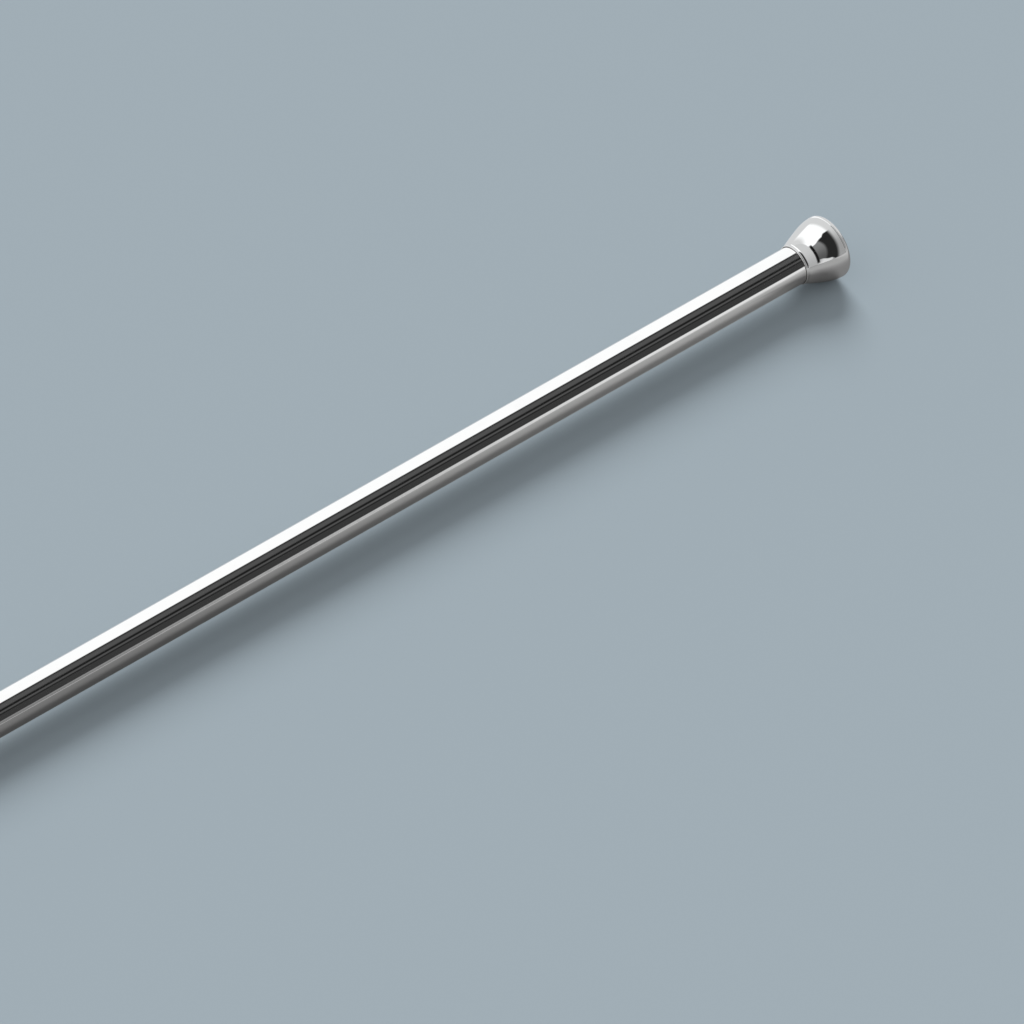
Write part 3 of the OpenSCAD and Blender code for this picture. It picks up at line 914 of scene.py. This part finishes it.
class Tent:
    """What polished metal reflects, by direction, with panels laid over each other. Around is the
    angle about the bar, from the camera's side over the top, and along is the angle towards +X,
    both in degrees. Everything else sees an even white tent."""

    def __init__(self, even_level):
        world = bpy.data.worlds.new("studio")
        SCENE.world = world
        world.use_nodes = True
        self.n = Nodes(world.node_tree)
        self.even_level = even_level
        self.direction = self.n.add("ShaderNodeTexCoord").outputs["Generated"]
        self.around = self.n.math("DEGREES", self.n.math("ARCTAN2", self.part(OVER), self.part(TOWARD)))
        self.along = self.n.math("DEGREES", self.n.math("ARCSINE", self.part(Vector((1, 0, 0)))))
        self.light = even_level

    def part(self, axis):
        """The direction's part along an axis."""
        return self.n.add("ShaderNodeVectorMath", {0: self.direction, 1: axis},
                          operation="DOT_PRODUCT").outputs["Value"]

    def about(self, edge, soft):
        """The two sides of an edge that reaches soft degrees each way. An edge may be a socket."""
        if isinstance(edge, bpy.types.NodeSocket):
            return self.n.math("SUBTRACT", edge, soft), self.n.math("ADD", edge, soft)
        return edge - soft, edge + soft

    def band(self, value, low, high, soft):
        """1 between low and high and 0 outside, with soft edges."""
        rise = self.n.ramp(value, *self.about(low, soft))
        fall = self.n.ramp(value, *self.about(high, soft), 1.0, 0.0)
        return self.n.math("MULTIPLY", rise, fall)

    def lay(self, level, *masks):
        """Lays a level of light over what is there, where every mask is 1."""
        mask = masks[0]
        for other in masks[1:]:
            mask = self.n.math("MULTIPLY", mask, other)
        change = self.n.math("SUBTRACT", level, self.light)
        self.light = self.n.math("MULTIPLY_ADD", mask, change, self.light)

    def panel(self, level, around, along, around_soft=1.5, along_soft=1.5):
        """Lays a four-sided panel."""
        self.lay(level, self.band(self.around, *around, around_soft),
                 self.band(self.along, *along, along_soft))

    def finish(self, tint):
        """Shows the panels in metal, in this tint, and the even tent to everything else."""
        in_metal = self.n.add("ShaderNodeLightPath").outputs["Is Glossy Ray"]
        scaled = self.n.add("ShaderNodeVectorMath", {0: tint}, operation="SCALE")
        self.n.put(scaled.inputs["Scale"], self.light)
        even = (self.even_level,) * 3
        background = self.n.add("ShaderNodeBackground", {
            "Color": self.n.mix(in_metal, even, scaled.outputs[0]), "Strength": 1.0})
        self.n.add("ShaderNodeOutputWorld", {"Surface": background.outputs[0]})


# The direction square to the bar that is nearest the camera, and the one over the bar from it
TOWARD = Vector((0, TOWARD_CAMERA.y, TOWARD_CAMERA.z)).normalized()
OVER = Vector((0, -TOWARD.z, TOWARD.y))

EVEN_LEVEL, TINT = 0.45, (0.93, 0.98, 1.02)
OVERHEAD, UNDER_WAIST, OPENING, CRESCENT = 1.15, 0.74, 0.022, 0.010
# Between these slanted angles every panel but the strip ends
PANEL_END = 4.7, 5.2
# The narrow strip that the whole length of the tube reflects to the camera, the cap's end at its
# lower edge: where it lies along, how soft its ends are, and each panel's level, angles and softness
STRIP, STRIP_SOFT = (-29.8, -26.2), 0.4
STRIP_PANELS = ((1.08, (57.5, 150), 2), (0.042, (-35.5, 57.5), 1.2), (0.088, (25, 46), 4),
                (0.012, (13, 22), 1.2), (0.088, (3.5, 10.5), 1.0), (0.018, (-5, 0.5), 1.0))
# The strip's bright line under the dark band, whose level fades away from the cap
LINE_AROUND, LINE_SOFT, LINE_FADE, LINE_LEVELS = (-52, -37), 1.5, (-28.8, -27.2), (0.80, 0.22)


def studio():
    """The panels, which match the reflections that the main view shows on the cap and the tube."""
    tent = Tent(EVEN_LEVEL)
    n, around, along = tent.n, tent.around, tent.along
    tent.light = n.ramp(around, -15, 62, 0.36, 0.71)
    # an end wall, behind a straight edge that runs slanting to the bar
    slanted = n.math("DEGREES", tent.part(Vector((1, 0, 0)) - 0.16 * TOWARD))
    before_end = n.ramp(slanted, *PANEL_END, 1.0, 0.0)
    tent.lay(n.ramp(around, -50, 40, 0.44, 0.64), n.ramp(slanted, *PANEL_END))
    # half the height of the dark opening on the camera's side, which has a waist
    half = n.math("ADD", n.ramp(along, -3, 7, 46.0, 38.0), n.ramp(along, 6, 10.8, 0.0, -9.0))
    lower = n.math("SUBTRACT", -3.0, half)
    # the big white light overhead, with its far corner cut off
    corner = n.math("MULTIPLY_ADD", along, 4.0, around)
    tent.lay(OVERHEAD, before_end, tent.band(around, half, 114, 4), n.ramp(along, -16, -8),
             n.ramp(corner, 92, 104, 1.0, 0.0))
    # the small bright panel under the waist
    tent.lay(UNDER_WAIST, before_end, tent.band(around, -57, lower, 2), tent.band(along, 4, 10.3, 2))
    # the opening, whose lower corner on the side of the near wall is cut off in a curve
    below = n.math("MINIMUM", n.math("SUBTRACT", around, 10.0), 0.0)
    start = n.math("MULTIPLY_ADD", n.math("POWER", below, 2.0), 0.0016, -14.5)
    in_opening = tent.band(around, lower, half, 1.5)
    tent.lay(OPENING, before_end, in_opening, n.ramp(along, *tent.about(start, 5.0)))
    # a grey patch at the opening's end, and the black crescent that bounds it
    patch = n.ramp(around, -30, 30, 0.10, 0.24)
    tent.lay(patch, in_opening, n.ramp(slanted, 3.7, 4.0, 1.0, 0.0), n.ramp(along, 7.3, 8.9))
    tent.lay(CRESCENT, tent.band(slanted, 3.7, 4.9, 0.2), tent.band(around, -44, 38, 4))
    for level, angles, soft in STRIP_PANELS:
        tent.panel(level, angles, STRIP, soft, STRIP_SOFT)
    line = n.ramp(along, *LINE_FADE, *LINE_LEVELS)
    tent.panel(line, LINE_AROUND, STRIP, LINE_SOFT, STRIP_SOFT)
    # dark flags that the other sides reflect
    tent.panel(0.05, (-34, 45), (36, 48))
    tent.panel(0.20, (-37, 56), (-46, -39))
    tent.finish(TINT)


def lamp():
    """A broad lamp that throws the shadow. The metal doesn't show it."""
    around, along, spread = math.radians(87), math.radians(-26), math.radians(34)
    towards = (TOWARD * math.cos(around) + OVER * math.sin(around)) * math.cos(along)
    towards += Vector((math.sin(along), 0, 0))
    data = bpy.data.lights.new("lamp", "SUN")
    data.energy, data.angle = 2.15, spread
    sun = bpy.data.objects.new("lamp", data)
    sun.rotation_mode = "QUATERNION"
    sun.rotation_quaternion = towards.to_track_quat("Z", "Y")
    sun.visible_glossy = False
    SCENE.collection.objects.link(sun)


studio()
lamp()
SCENE.view_settings.view_transform = "Standard"
